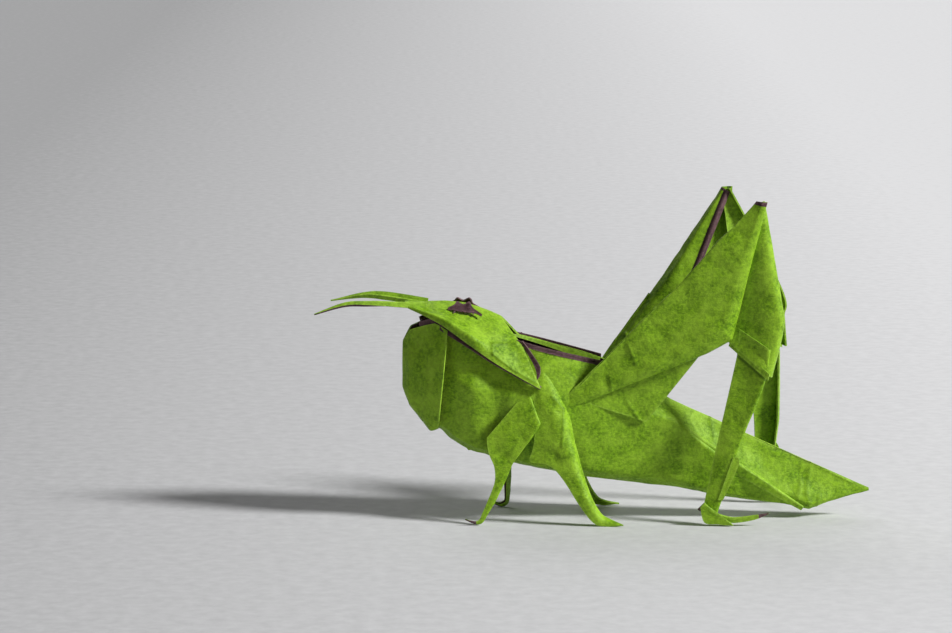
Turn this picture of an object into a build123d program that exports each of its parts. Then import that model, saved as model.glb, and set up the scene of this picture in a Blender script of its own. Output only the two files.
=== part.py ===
"""Origami grasshopper, folded from one two-coloured sheet of paper: one closed solid.

Every wall is several layers of the sheet pressed together. Millimetres, +Z up, the head towards -X,
the insect's left side towards -Y. The origin is on the table, under the middle of the model's box.
"""

import os
from math import cos, radians, sin

from build123d import *

# Paper: thickness of a pressed wall, and of the heavier shield over the neck
PAPER = 0.5
SHIELD_PAPER = 0.7

# Lengths along the body, from the nose to the tip of the tail
NOSE_X = -47.0
FACE_LENGTH = 1.5
CHEEK_LENGTH = 5.3
CHEEK_FLAP = 3.4
NECK_LENGTH = 12.0
THORAX_LENGTH = 12.5
HIP_LENGTH = 15.5
WAIST_LENGTH = 17.0
ABDOMEN_LENGTH = 34.6
TAIL_LENGTH = 15.2
TAIL_HEIGHT = 6.9

# Body folds: place of the lower fold as a share of the half width and of the widest fold's height,
# place of the shield's shoulder between its ridge and its hem as shares of the way back and of the
# way down, and the small folds on the body.
# The pleat on the flank starts and ends at shares of the abdomen's length.
LOWER_FOLD = (0.72, 0.14)
SHOULDER_FOLD = (0.55, 0.40)
HEM_WIDTH = 2.2
HEM_LIFT = 0.4
PLEAT_WIDTH = 5.4
PLEAT_LIFT = 0.7
PLEAT_START, PLEAT_END = -0.08, 0.9
PLEAT_STEPS = 5
BROW_WIDTH = 1.8
ANTENNA_WIDTH = 1.9

# Heights above the table: the shield's ridge, the roots of the fore and middle legs, then the hind
# leg from its hip to its ankle, with how much higher or lower the right leg's folds are
CROWN_HEIGHT = 55.4
FORE_ROOT_HEIGHT = 33.6
KITE_HEIGHT = 25.8
MID_ROOT_HEIGHT = 38.8
HIP_HEIGHT = 32.0
KNEE_HEIGHT = 81.2
BEND_HEIGHT = 56.5
CUFF_HEIGHT = 37.2
CALF_HEIGHT = 24.5
ANKLE_HEIGHT = 4.6
PLEAT_HEIGHT = 26.0
PLEAT_DROP = 24.0

# Legs: how far the feet and knees stand out from the middle of the body, and widths of their flaps
FORE_REACH = 13.0
MID_REACH = 14.5
KNEE_REACH = 14.0
LEFT_HIND_REACH = 14.0
RIGHT_HIND_REACH = 19.0
FORE_KITE = 13.6
FORE_SHANK = 2.8
FORE_TUCK = 3.0
MID_SKIRT = 11.4
MID_THIGH = 5.8
MID_SHANK = 3.6
FEMUR_WIDTH = 20.0
FEMUR_POINT = 8.8
KNEE_WIDTH = 2.0
CUFF_WIDTH = 12.8
CUFF_SLANT = 6.2
HOCK_LENGTH = 7.0
SHANK_WIDTH = 7.9
ANKLE_WIDTH = 4.2
TOE_LENGTH = 12.1
TUCK_WIDTH = 3.4
FEMUR_TUCK = 9.5
ROOT_DEPTH = 1.4
LAYER_STEP = 0.35
SOLE_PRESS = 0.2

# How far a leg's flap leans in, and where its tuck is folded to behind the crease, in degrees
LEG_TILT = 10.0
COVER_TILT = 6.0
UNDER_TILT = 7.5
SLEEVE_TILT = 20.0
FORE_FOLD = 55.0
MID_FOLD = 100.0
FEMUR_FOLD = 30.0
SLEEVE_FOLD = 100.0
SHANK_FOLD = 75.0
FOOT_FOLD = 40.0
TOE_FOLD = 60.0
ANTENNA_FOLD = 40.0
HEM_FOLD = 24.0
BROW_FOLD = -35.0
MOUTH_FOLD = 5.0
PLEAT_FOLD = 95.0

# Steps on a smooth curve from one row of folds to the next
CURVE_STEPS = 3

FACE_X = NOSE_X + FACE_LENGTH
CHEEK_X = FACE_X + CHEEK_LENGTH
COLLAR_X = CHEEK_X + CHEEK_FLAP
CHEST_X = COLLAR_X + NECK_LENGTH
MID_X = CHEST_X + THORAX_LENGTH
HIP_X = MID_X + HIP_LENGTH
WAIST_X = HIP_X + WAIST_LENGTH
VENT_X = WAIST_X + ABDOMEN_LENGTH
TAIL_X = VENT_X + TAIL_LENGTH

# Head and body are troughs folded along the keel and open along the back:
# keel x, keel z, back x, back z, half width, half gap at the back, height share of the widest fold
HEAD = (
    (NOSE_X, 33.0, NOSE_X, 44.5, 1.8, 1.4, 0.6),
    (FACE_X, 28.2, FACE_X + 0.5, 48.0, 4.4, 3.6, 0.6),
    (CHEEK_X, 22.0, CHEEK_X + 1.2, 50.0, 8.6, 7.4, 0.6),
    (COLLAR_X - 1.4, 22.6, COLLAR_X + 1.0, 48.4, 10.2, 9.0, 0.6),
)
BODY = (
    (COLLAR_X, 20.6, COLLAR_X + 1.0, 47.5, 9.5, 8.0, 0.6),
    (CHEST_X, 14.8, CHEST_X + 1.0, 45.2, 10.4, 7.2, 0.6),
    (MID_X, 11.6, MID_X, 43.4, 10.4, 8.4, 0.6),
    (HIP_X, 9.4, HIP_X, 39.3, 8.6, 5.6, 0.68),
    (WAIST_X, 7.6, WAIST_X, 29.6, 5.8, 0.8, 0.80),
    (VENT_X, 2.0, VENT_X, 13.8, 2.8, 0.8, 0.14),
)

# The shield over the neck is a roof:
# ridge x, ridge z, hem x, hem z, half width at the shoulder, half width at the hem
SHIELD = (
    (NOSE_X + 0.5, CROWN_HEIGHT - 0.8, NOSE_X + 1.0, CROWN_HEIGHT - 2.0, 2.2, 3.6),
    (NOSE_X + 7.5, CROWN_HEIGHT, COLLAR_X - 0.8, CROWN_HEIGHT - 6.2, 5.0, 8.8),
    (NOSE_X + 14.0, CROWN_HEIGHT - 0.5, COLLAR_X + 6.8, CROWN_HEIGHT - 10.6, 6.8, 11.2),
    (NOSE_X + 19.0, CROWN_HEIGHT - 2.1, CHEST_X + 2.0, CROWN_HEIGHT - 15.5, 7.6, 11.7),
    (NOSE_X + 24.2, CROWN_HEIGHT - 4.5, MID_X - 0.3, CROWN_HEIGHT - 21.4, 8.4, 11.7),
)

FORWARD = Vector(-1, 0, 0)
BACKWARD = Vector(1, 0, 0)
UP = Vector(0, 0, 1)
DOWN = Vector(0, 0, -1)
LEFT, RIGHT = -1, 1


def between(low, high, share):
    """A row part of the way from one row to another."""
    return tuple(a + (b - a) * share for a, b in zip(low, high))


def bowed(rows):
    """The rows with more between them, on a smooth curve through them all."""
    smooth = []
    for i, (low, high) in enumerate(zip(rows, rows[1:])):
        before, after = rows[max(i - 1, 0)], rows[min(i + 2, len(rows) - 1)]
        for step in range(CURVE_STEPS):
            t = step / CURVE_STEPS
            pull = (t * (2 * t - t * t - 1), t * t * (t - 1))
            shares = (pull[0], t * t * (3 * t - 5) + 2, t * (1 + 4 * t - 3 * t * t), pull[1])
            columns = zip(before, low, high, after)
            smooth.append(tuple(sum(s * v for s, v in zip(shares, column)) / 2 for column in columns))
    return [*smooth, rows[-1]]


def half_folds(row):
    """Folds of half a trough above its keel: distance from the middle, and share of the height."""
    _, _, _, _, half_width, half_gap, widest = row
    share_out, share_up = LOWER_FOLD
    return [(half_width * share_out, widest * share_up), (half_width, widest), (half_gap, 1.0)]


def half_body(x, z):
    """Half width of the body's wall at a place along it and a height."""
    low, high = BODY[0], BODY[1]
    for first, second in zip(BODY, BODY[1:]):
        if x >= first[0]:
            low, high = first, second
    row = between(low, high, (x - low[0]) / (high[0] - low[0]))
    height = min(max((z - row[1]) / (row[3] - row[1]), 0.0), 1.0)
    folds = [(0.0, 0.0), *half_folds(row)]
    for (y_low, t_low), (y_high, t_high) in zip(folds, folds[1:]):
        if height <= t_high:
            return y_low + (y_high - y_low) * (height - t_low) / (t_high - t_low)


def both_sides(middle, half):
    """Fold points across a strip that is alike on both sides of its middle fold."""
    mirrored = [(x, -out, z) for x, out, z in reversed(half)]
    return [Vector(*point) for point in (*mirrored, middle, *half)]


def trough(row):
    """Fold points across a trough, from one back edge round the keel to the other."""
    keel, back = row[0:2], row[2:4]
    half = []
    for out, share in half_folds(row):
        x, z = between(keel, back, share)
        half.append((x, out, z))
    return both_sides((keel[0], 0.0, keel[1]), half)


def roof(row):
    """Fold points across a roof, from one hem over the ridge to the other."""
    ridge_x, ridge_z, hem_x, hem_z, shoulder, hem = row
    share_back, share_down = SHOULDER_FOLD
    shoulder_x = ridge_x + (hem_x - ridge_x) * share_back
    shoulder_z = ridge_z + (hem_z - ridge_z) * share_down
    return both_sides((ridge_x, 0.0, ridge_z), [(shoulder_x, shoulder, shoulder_z), (hem_x, hem, hem_z)])


def limb(side, aim, tilt, fold, rows):
    """Fold points of a strip creased along its middle: edge of the flap, crease, edge of the tuck.

    A row is x, distance from the middle, z, width of the flap, width of the tuck, and how far the
    flap's edge runs ahead of the crease. The flap points to the aim and leans in by the tilt; the
    tuck is folded in behind it.
    """
    creases = [Vector(row[0], side * row[1], row[2]) for row in rows]
    stations = []
    for i, (crease, row) in enumerate(zip(creases, rows)):
        runs = []
        if i > 0:
            runs.append((crease - creases[i - 1]).normalized())
        if i < len(creases) - 1:
            runs.append((creases[i + 1] - crease).normalized())
        run = (runs[0] + runs[-1]).normalized()
        mitre = run.dot(runs[0])
        outward = Vector(0, side, 0)
        outward = (outward - run * outward.dot(run)).normalized()
        across = run.cross(outward)
        if across.dot(aim) < 0:
            across = across * -1
        aim = across
        flap = (across * cos(radians(tilt)) - outward * sin(radians(tilt)) * mitre).normalized()
        tuck = (across * cos(radians(fold)) - outward * sin(radians(fold)) * mitre).normalized()
        stations.append([crease + flap * row[3] + run * row[5], crease, crease + tuck * row[4]])
    return stations


def sheet_sides(points, paper):
    """The two sides of a sheet that follows a line of folds, with mitred folds."""
    across = points[-1] - points[0]
    plane = Plane(points[0], x_dir=across, z_dir=(points[len(points) // 2] - points[0]).cross(across))
    flat = [plane.to_local_coords(point) for point in points]
    near, far = [], []
    for i, point in enumerate(flat):
        runs = []
        if i > 0:
            runs.append((point - flat[i - 1]).normalized())
        if i < len(flat) - 1:
            runs.append((flat[i + 1] - point).normalized())
        normals = [Vector(-run.Y, run.X) for run in runs]
        mitre = (normals[0] + normals[-1]).normalized()
        offset = mitre * (paper / 2 / mitre.dot(normals[0]))
        near.append(plane.from_local_coords(point + offset))
        far.append(plane.from_local_coords(point - offset))
    return near, far


def creased(low, high, crosswise=False):
    """Two triangles between an edge and the next one, creased along one diagonal or the other."""
    (a, b), (d, c) = low, high
    if crosswise:
        return [(a, b, d), (b, c, d)]
    return [(a, b, c), (a, c, d)]


def folded_strip(stations, tip=None, paper=PAPER):
    """A strip of paper folded lengthwise: its folds run through the points of each station.

    Paper doesn't twist, so each panel is creased along its shorter diagonal. A tip closes the strip
    to a point.
    """
    layers = [sheet_sides(points, paper) for points in stations]
    polygons = []
    for i in range(len(stations) - 1):
        points, ahead = stations[i], stations[i + 1]
        for k in range(len(points) - 1):
            crosswise = (ahead[k + 1] - points[k]).length > (ahead[k] - points[k + 1]).length
            for low, high in zip(layers[i], layers[i + 1]):
                polygons += creased(low[k : k + 2], high[k : k + 2], crosswise)
        for k in (0, -1):
            low, high = [[near[k], far[k]] for near, far in layers[i : i + 2]]
            polygons += creased(low, high)
    open_ends = [layers[0]]
    if tip is None:
        open_ends.append(layers[-1])
    else:
        near, far = layers[-1]
        outline = near + far[::-1]
        polygons += [(a, b, tip) for a, b in zip(outline, outline[1:] + outline[:1])]
    for near, far in open_ends:
        for k in range(len(near) - 1):
            polygons += creased(near[k : k + 2], far[k : k + 2])
    with BuildPart() as strip:
        add(Solid(Shell([Face(Wire.make_polygon(corners)) for corners in polygons])))
    return strip.part


strips = []

# Head with its cheek flaps, then the body tucked in behind them
strips.append(folded_strip([trough(row) for row in HEAD]))
keel_x, keel_z, back_x, back_z, half_width, half_gap, widest = between(HEAD[1], HEAD[2], 0.8)
tuck = PAPER / 2
inset = (keel_x, keel_z + tuck, back_x, back_z - 1.5, half_width - tuck, half_gap - tuck, widest)
abdomen = [between(BODY[4], BODY[5], share) for share in (0.25, 0.5, 0.75)]
body_stations = [trough(row) for row in (inset, *BODY[:5], *abdomen, BODY[5])]
strips.append(folded_strip(body_stations, tip=Vector(TAIL_X, 0, TAIL_HEIGHT)))

# Shield over the neck, and the inner collar that joins it to the body
strips.append(folded_strip([roof(row) for row in SHIELD], paper=SHIELD_PAPER))
collar = []
for row, drop in zip(SHIELD[1:4], (5.5, 3.5, 1.5)):
    ridge_x, ridge_z, hem_x, hem_z, shoulder, hem = row
    hem_z = hem_z - drop
    hem = half_body(hem_x, hem_z)
    collar.append(roof((ridge_x, ridge_z - 0.2, hem_x, hem_z, shoulder - 0.9, hem)))
strips.append(folded_strip(collar))

for side in (LEFT, RIGHT):
    # Hem folded in over the edge of the back
    hem_rows = [(CHEST_X + 4.0, BODY[2][5] * 0.74, BODY[2][3] + 2.8, HEM_WIDTH, HEM_WIDTH * 0.45, 0.0)]
    for row, share in ((BODY[2], 0.65), (between(BODY[2], BODY[3], 0.97), 1.0)):
        hem_rows.append((row[2], row[5] - 0.1, row[3] + HEM_LIFT, HEM_WIDTH, HEM_WIDTH * share, 0.0))
    strips.append(folded_strip(limb(side, DOWN, -5.0, HEM_FOLD, hem_rows)))

    # Brow and mouth: the crumpled tabs on the shield and along the top of the face
    ridge_x, ridge_z, hem_x, hem_z, shoulder, hem = SHIELD[2]
    brow_z = ridge_z - SHOULDER_FOLD[1] * (ridge_z - hem_z) * 0.5
    brow_rows = (
        (ridge_x - 2.0, shoulder * 0.5 - 0.2, brow_z + 0.2, BROW_WIDTH * 0.7, BROW_WIDTH, 0.0),
        (ridge_x + 1.0, shoulder * 0.5, brow_z - 0.1, BROW_WIDTH, BROW_WIDTH * 0.7, 0.0),
        (ridge_x + 4.2, shoulder * 0.5 + 0.2, brow_z - 0.7, BROW_WIDTH * 0.8, BROW_WIDTH, 0.0),
    )
    strips.append(folded_strip(limb(side, UP, 25.0, BROW_FOLD, brow_rows)))
    mouth_rows = []
    for row in (between(HEAD[1], HEAD[2], 0.4), HEAD[2], between(HEAD[2], HEAD[3], 0.8)):
        mouth_rows.append((row[2], row[5] - 0.15, row[3] - 0.5, BROW_WIDTH * 0.9, BROW_WIDTH, 0.0))
    strips.append(folded_strip(limb(side, UP, 50.0, MOUTH_FOLD, mouth_rows)))

    # Pleat along the flank of the abdomen
    pleat_rows = []
    for step in range(PLEAT_STEPS + 1):
        x = WAIST_X + ABDOMEN_LENGTH * (PLEAT_START + (PLEAT_END - PLEAT_START) * step / PLEAT_STEPS)
        z = PLEAT_HEIGHT - PLEAT_DROP * (x - WAIST_X) / ABDOMEN_LENGTH
        width = PLEAT_WIDTH * (1.0 - 0.8 * step / PLEAT_STEPS)
        pleat_rows.append((x, half_body(x, z) + PLEAT_LIFT, z, width, 1.6, 0.0))
    strips.append(folded_strip(limb(side, DOWN, 14.0, PLEAT_FOLD, pleat_rows)))

    # Fore leg: a kite against the chest, a narrow shank and a toe turned forward;
    # the right foot is set further back
    root_x = CHEST_X + 9.5
    swing = 0.0 if side == LEFT else 6.0
    fore_rows = (
        (root_x, half_body(root_x, FORE_ROOT_HEIGHT) + 0.3, FORE_ROOT_HEIGHT, 1.2, ROOT_DEPTH * 2, 0.0),
        (root_x + 3.2, FORE_REACH - 0.6, KITE_HEIGHT, FORE_KITE, FORE_TUCK * 1.4, 5.0),
        (root_x - 0.8, FORE_REACH - 0.4, KITE_HEIGHT - 6.2, FORE_KITE * 0.52, FORE_TUCK * 1.2, 6.6),
        (root_x - 3.8, FORE_REACH - 0.2, KITE_HEIGHT - 10.5, FORE_KITE * 0.31, FORE_TUCK, 3.0),
        (root_x - 6.3 + swing * 0.4, FORE_REACH - 0.1, KITE_HEIGHT - 16.3, FORE_SHANK, FORE_TUCK, 0.3),
        (root_x - 10.5 + swing, FORE_REACH, 1.8, FORE_SHANK * 0.65, FORE_TUCK * 0.7, 0.0),
        (root_x - 11.9 + swing, FORE_REACH, -SOLE_PRESS, FORE_SHANK * 0.6, FORE_TUCK * 0.6, 0.0),
        (root_x - 13.7 + swing, FORE_REACH, -SOLE_PRESS, FORE_SHANK * 0.4, FORE_TUCK * 0.4, 0.0),
    )
    toe = Vector(root_x - 16.1 + swing, side * FORE_REACH, 1.6)
    fore_rows = [*fore_rows[:3], *bowed(fore_rows[3:6]), *fore_rows[6:]]
    strips.append(folded_strip(limb(side, FORWARD, LEG_TILT, FORE_FOLD, fore_rows), tip=toe))

    # Middle leg: a skirt against the flank that ends in a step, a thigh, and a toe turned back
    mid_rows = (
        (MID_X + 0.4, half_body(MID_X, MID_ROOT_HEIGHT) + 0.3, MID_ROOT_HEIGHT, 3.0, ROOT_DEPTH, 0.0),
        (MID_X + 3.7, MID_REACH - 2.7, MID_ROOT_HEIGHT - 5.8, MID_SKIRT * 0.57, TUCK_WIDTH, 0.0),
        (MID_X + 6.2, MID_REACH - 1.7, MID_ROOT_HEIGHT - 12.2, MID_SKIRT * 0.74, TUCK_WIDTH, 0.0),
        (MID_X + 7.2, MID_REACH - 1.1, MID_ROOT_HEIGHT - 17.3, MID_SKIRT * 0.87, TUCK_WIDTH, 0.0),
        (MID_X + 7.8, MID_REACH - 0.8, MID_ROOT_HEIGHT - 19.8, MID_SKIRT, TUCK_WIDTH, 0.0),
        (MID_X + 8.7, MID_REACH - 0.5, MID_ROOT_HEIGHT - 23.2, MID_THIGH, TUCK_WIDTH, 0.0),
        (MID_X + 9.8, MID_REACH - 0.3, MID_ROOT_HEIGHT - 26.9, MID_THIGH * 0.85, 3.0, 0.0),
        (MID_X + 11.7, MID_REACH, MID_ROOT_HEIGHT - 32.1, MID_SHANK, 2.6, 0.0),
        (MID_X + 14.1, MID_REACH, 2.6, MID_SHANK * 0.75, 2.4, 0.0),
        (MID_X + 16.4, MID_REACH, 1.3, MID_SHANK * 0.4 + SOLE_PRESS, 2.0, 0.0),
    )
    toe = Vector(MID_X + 20.1, side * (MID_REACH + 0.3), 0.4)
    strips.append(folded_strip(limb(side, FORWARD, LEG_TILT, MID_FOLD, bowed(mid_rows)), tip=toe))

# Hind legs: hip, knee, bend and cuff of the tibia's sleeve, calf and ankle, each as its place along
# the body and how far it is above or below its height.
# The left shin slants to the head and the right one stands upright.
HIND_HEIGHTS = (HIP_HEIGHT, KNEE_HEIGHT, BEND_HEIGHT, CUFF_HEIGHT, CALF_HEIGHT, ANKLE_HEIGHT)
HIND_LEGS = (
    (LEFT, LEFT_HIND_REACH, (-9.7, 0.0), (37.0, 0.0), (42.8, 0.0), (40.7, 0.0), (35.4, 0.0), (28.6, 0.0)),
    (RIGHT, RIGHT_HIND_REACH, (-5.2, 0.0), (30.1, 0.6), (44.7, -0.5), (46.0, 4.3), (45.4, -2.5), (43.6, 0.0)),
)
for side, reach, *places in HIND_LEGS:
    hip, knee, bend, cuff, calf, ankle = [(HIP_X + x, z + lift) for (x, lift), z in zip(places, HIND_HEIGHTS)]

    # Femur: an under layer rooted in the flank, and the folded cover that rises to the knee
    root = (hip[0], half_body(*hip) + 0.4, hip[1])
    top = (knee[0], KNEE_REACH, knee[1])
    third, half = (between(root, top, share) for share in (0.47, 0.57))
    under_rows = (
        (root[0], root[1] - LAYER_STEP, root[2], FEMUR_WIDTH * 0.97, 6.0, FEMUR_POINT),
        (third[0], third[1] - LAYER_STEP, third[2], FEMUR_WIDTH * 0.85, 6.0, 0.0),
    )
    strips.append(folded_strip(limb(side, BACKWARD, UNDER_TILT, FEMUR_FOLD + 10.0, under_rows)))
    cover_rows = (
        (*root, FEMUR_WIDTH * 0.2, 5.0, 0.0),
        (*third, FEMUR_WIDTH * 0.89, FEMUR_TUCK, 0.0),
        (*half, FEMUR_WIDTH, FEMUR_TUCK - 0.5, 0.0),
        (*top, KNEE_WIDTH, KNEE_WIDTH, KNEE_WIDTH * 0.8),
    )
    strips.append(folded_strip(limb(side, BACKWARD, COVER_TILT, FEMUR_FOLD, cover_rows)))

    # Tibia: a sleeve cut off aslant, and the narrower shank that comes out of it
    sleeve_rows = (
        (knee[0] + 1.6, KNEE_REACH - 0.2, knee[1] - 0.2, KNEE_WIDTH, KNEE_WIDTH, 0.0),
        (bend[0], KNEE_REACH + 0.4, bend[1], CUFF_WIDTH * 0.95, TUCK_WIDTH, 0.0),
        (bend[0] + 0.7, KNEE_REACH + 0.4, bend[1] - HOCK_LENGTH, CUFF_WIDTH, TUCK_WIDTH, 0.0),
        (cuff[0], KNEE_REACH + 0.3, cuff[1], CUFF_WIDTH, TUCK_WIDTH, -CUFF_SLANT),
    )
    strips.append(folded_strip(limb(side, FORWARD, SLEEVE_TILT, SLEEVE_FOLD, bowed(sleeve_rows))))
    inner = between(cuff, bend, 0.35)
    shank_out = KNEE_REACH + 0.3 - LAYER_STEP
    shank_rows = (
        (inner[0] - 0.3, shank_out, inner[1], SHANK_WIDTH * 1.15, TUCK_WIDTH, -4.0),
        (cuff[0] - 0.5, shank_out, cuff[1], SHANK_WIDTH * 1.15, TUCK_WIDTH, -3.0),
        (calf[0], (KNEE_REACH + reach) / 2, calf[1], SHANK_WIDTH * 0.88, TUCK_WIDTH, 0.0),
        (ankle[0], reach, ankle[1], ANKLE_WIDTH, 3.0, 0.0),
        (ankle[0] - 0.3, reach, ankle[1] - 2.0, ANKLE_WIDTH * 0.6, 2.6, 0.0),
    )
    strips.append(folded_strip(limb(side, FORWARD, SLEEVE_TILT, SHANK_FOLD, shank_rows)))

    # Foot: a heel folded round the ankle, and a long thin toe turned back
    heel_rows = (
        (ankle[0] - 3.6, reach + 0.2, 5.4, 2.2, 3.4, 0.0),
        (ankle[0] - 1.2, reach + 0.2, 4.2, 4.5 + SOLE_PRESS, 3.0, 0.0),
        (ankle[0] + 1.2, reach + 0.2, 2.2, 2.9 + SOLE_PRESS, 2.2, 0.0),
    )
    heel_end = Vector(ankle[0] + 3.2, side * (reach + 0.4), 0.3)
    strips.append(folded_strip(limb(side, DOWN, 8.0, FOOT_FOLD, heel_rows), tip=heel_end))
    toe_rows = (
        (ankle[0] - 1.8, reach - 0.2, 3.8, 2.0, 1.6, 0.0),
        (ankle[0] + TOE_LENGTH * 0.25, reach - 0.2, 2.4, 1.6, 1.4, 0.0),
        (ankle[0] + TOE_LENGTH * 0.7, reach - 0.2, 2.8, 1.2, 1.0, 0.0),
    )
    toe = Vector(ankle[0] + TOE_LENGTH, side * (reach - 0.2), 3.2)
    strips.append(folded_strip(limb(side, DOWN, LEG_TILT, TOE_FOLD, bowed(toe_rows)), tip=toe))

# Antennae, the left one lower and the right one held higher: root, two bends and the tip, each as its
# place from the nose, its distance from the middle and how far it is above or below the crown.
# The left one is creased along its top and the right one along its bottom.
ANTENNAE = (
    (LEFT, (6.0, 2.6, -0.4), (-8.0, 4.6, -0.1), (-14.5, 5.0, -0.5), (-22.0, 5.0, -3.5)),
    (RIGHT, (6.0, 2.6, -2.2), (-4.6, 3.8, -0.6), (-10.4, 4.0, -0.2), (-18.2, 4.2, -1.0)),
)
for side, *places in ANTENNAE:
    root, first, second, end = [(NOSE_X + x, out, CROWN_HEIGHT + lift) for x, out, lift in places]
    rows = ((*root, 2.2, 1.6, 0.0), (*first, ANTENNA_WIDTH * 0.6, ANTENNA_WIDTH, 0.0),
            (*second, ANTENNA_WIDTH * 0.4, ANTENNA_WIDTH * 0.8, 0.0))
    tip = Vector(end[0], side * end[1], end[2])
    aim = DOWN if side == LEFT else UP
    strips.append(folded_strip(limb(side, aim, -15.0, ANTENNA_FOLD, bowed(rows)), tip=tip))

# One sheet: the strips joined, the feet pressed flat on the table, and the origin under the middle
with BuildPart() as joined:
    add(strips)
    split(bisect_by=Plane.XY, keep=Keep.TOP)
middle = joined.part.bounding_box().center()
with BuildPart() as grasshopper:
    with Locations((-middle.X, -middle.Y, 0)):
        add(joined.part)

grasshopper.part.label = "folded_sheet"
os.makedirs("parts", exist_ok=True)
export_step(grasshopper.part, "parts/folded_sheet.step")
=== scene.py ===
"""Looks of the origami grasshopper: the folded sheet laid strip by strip as thin two-coloured paper.

Each strip follows the same folds as the solid model, in millimetres, and is then softened, crumpled and
given its thickness. The sheet is green outside and dark purple inside.
"""

from math import ceil, cos, radians, sin

import bpy
import numpy as np
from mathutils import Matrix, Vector, noise


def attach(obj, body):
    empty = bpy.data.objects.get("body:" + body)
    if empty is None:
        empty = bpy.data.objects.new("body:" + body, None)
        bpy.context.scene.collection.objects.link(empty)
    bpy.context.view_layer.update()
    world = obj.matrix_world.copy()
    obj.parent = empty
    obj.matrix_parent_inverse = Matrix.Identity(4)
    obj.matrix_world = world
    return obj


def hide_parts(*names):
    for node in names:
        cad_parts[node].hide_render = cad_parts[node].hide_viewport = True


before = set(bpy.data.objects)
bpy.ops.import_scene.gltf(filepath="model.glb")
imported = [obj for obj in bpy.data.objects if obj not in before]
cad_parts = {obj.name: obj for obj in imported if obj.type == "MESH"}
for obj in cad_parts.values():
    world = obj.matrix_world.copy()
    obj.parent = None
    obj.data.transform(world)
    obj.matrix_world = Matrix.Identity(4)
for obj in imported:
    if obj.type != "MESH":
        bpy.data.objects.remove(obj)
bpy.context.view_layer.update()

MM = 0.001
BODY_NAME = "root"
NODE_NAME = "folded_sheet"

# The folds are written from the middle of the body; the frame's origin is under the middle of the box
FOLDS_ORIGIN = np.array((0.5, 2.3786, 0.0))

# Paper: thickness of a strip and of the shield, distance between points, places of points beside a fold,
# width and passes of the rounding of a fold, angle past which an edge stays sharp, and widths of a pale line
# along folds and edges, partly wear and partly painted highlight, and of a pressed crease. A fold that is
# bent round has its points at the bend shares, and takes up no more of its flaps than the bend limit. A tip
# keeps a share of the strip's width, and past a share of the length the inside shows the paper of the rim.
PAPER = 0.40
SHIELD_PAPER = 0.5
GRID = 0.55
FINE_GRID = 0.4
TRIM_GRID = 0.25
ANTENNA_GRID = 0.3
FOLD_PLACES = (0.22, 0.5, 0.9, 1.4)
ROUND_WIDTH = 0.9
ROUND_PASSES = 10
ROUND_SHARE = 0.5
SHARP_ANGLE = 50.0
WEAR_AND_HIGHLIGHT_WIDTH = 0.4
CREASE_WIDTH = 0.35
BEND_SHARES = (0.0, 0.25, 0.5, 0.75, 1.0)
BEND_LIMIT = 0.8
TIP_SHARE = 0.04
TIP_FROM = 0.95

# Crumple: seed of the slow warp, size and height of the warp, of the facets and of the fine wrinkles, and how
# far from an edge and by what share it dies down
CRUMPLE_SEED = 7
WARP_SIZE, WARP_HEIGHT = 17.0, 0.7
FACET_SIZE, FACET_HEIGHT, FACET_MEAN = 9.0, 0.22, 0.4
STRAIGHT_WIDTH, STRAIGHT_SHARE = 2.5, 0.8
WRINKLE_SIZE, WRINKLE_HEIGHT = 2.4, 0.08

# Lengths along the body, from the nose to the tip of the tail
NOSE_X = -47.0
FACE_X = NOSE_X + 1.5
CHEEK_X = FACE_X + 5.3
COLLAR_X = CHEEK_X + 3.4
CHEST_X = COLLAR_X + 12.0
MID_X = CHEST_X + 12.5
HIP_X = MID_X + 15.5
WAIST_X = HIP_X + 17.0
ABDOMEN_LENGTH = 34.6
VENT_X = WAIST_X + ABDOMEN_LENGTH
TAIL_TIP = (VENT_X + 15.2, 0.0, 6.9)

# Folds of the body, and widths of its small folds
LOWER_FOLD = (0.72, 0.14)
SHOULDER_FOLD = (0.55, 0.40)
HEM_WIDTH = 2.2
HEM_LIFT = 0.4
PLEAT_WIDTH = 5.4
PLEAT_LIFT = 0.7
PLEAT_START, PLEAT_END = -0.08, 0.96
PLEAT_STEPS = 5
PLEAT_HEIGHT, PLEAT_DROP = 26.0, 24.0
BROW_WIDTH = 1.8
ANTENNA_WIDTH = 1.9

# Heights of the legs' folds, their reach from the middle of the body, and widths of their flaps
CROWN_HEIGHT = 55.4
FORE_ROOT_HEIGHT, KITE_HEIGHT = 33.6, 25.8
MID_ROOT_HEIGHT = 38.8
HIND_HEIGHTS = (32.0, 81.2, 56.5, 37.2, 24.5, 4.6)
FORE_REACH, MID_REACH, KNEE_REACH = 13.0, 14.5, 14.0
LEFT_HIND_REACH, RIGHT_HIND_REACH = 14.0, 19.0
FORE_KITE, FORE_SHANK, FORE_TUCK = 13.6, 2.8, 3.0
MID_SKIRT, MID_THIGH, MID_SHANK = 11.4, 5.8, 3.6
FEMUR_WIDTH, FEMUR_TUCK, FEMUR_POINT, KNEE_WIDTH = 20.0, 9.5, 8.8, 2.0
CUFF_WIDTH, CUFF_SLANT, HOCK_LENGTH = 12.8, 6.2, 7.0
SHANK_WIDTH, ANKLE_WIDTH = 7.9, 4.2
TUCK_WIDTH, TOE_LENGTH, ROOT_DEPTH = 3.4, 12.1, 1.4
LAYER_STEP = 0.35

# Lean of a leg's flap and the fold of its tuck, in degrees
LEG_TILT, COVER_TILT, UNDER_TILT, SLEEVE_TILT = 10.0, 2.5, 7.5, 20.0
FORE_FOLD, MID_FOLD, FEMUR_FOLD = 55.0, 100.0, 30.0
SLEEVE_FOLD, SHANK_FOLD = 100.0, 75.0

# Widths on each side of a fold that is bent round, and of the rounding of the femur's folds
ROLL_BEND, SLEEVE_BEND, SHANK_BEND = (3.0, 3.0), (5.0, 2.7), (2.2, 1.2)
MID_BEND, KITE_BEND = (4.0, 2.7), (1.4, 1.0)
FEMUR_ROUND = 1.4

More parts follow.
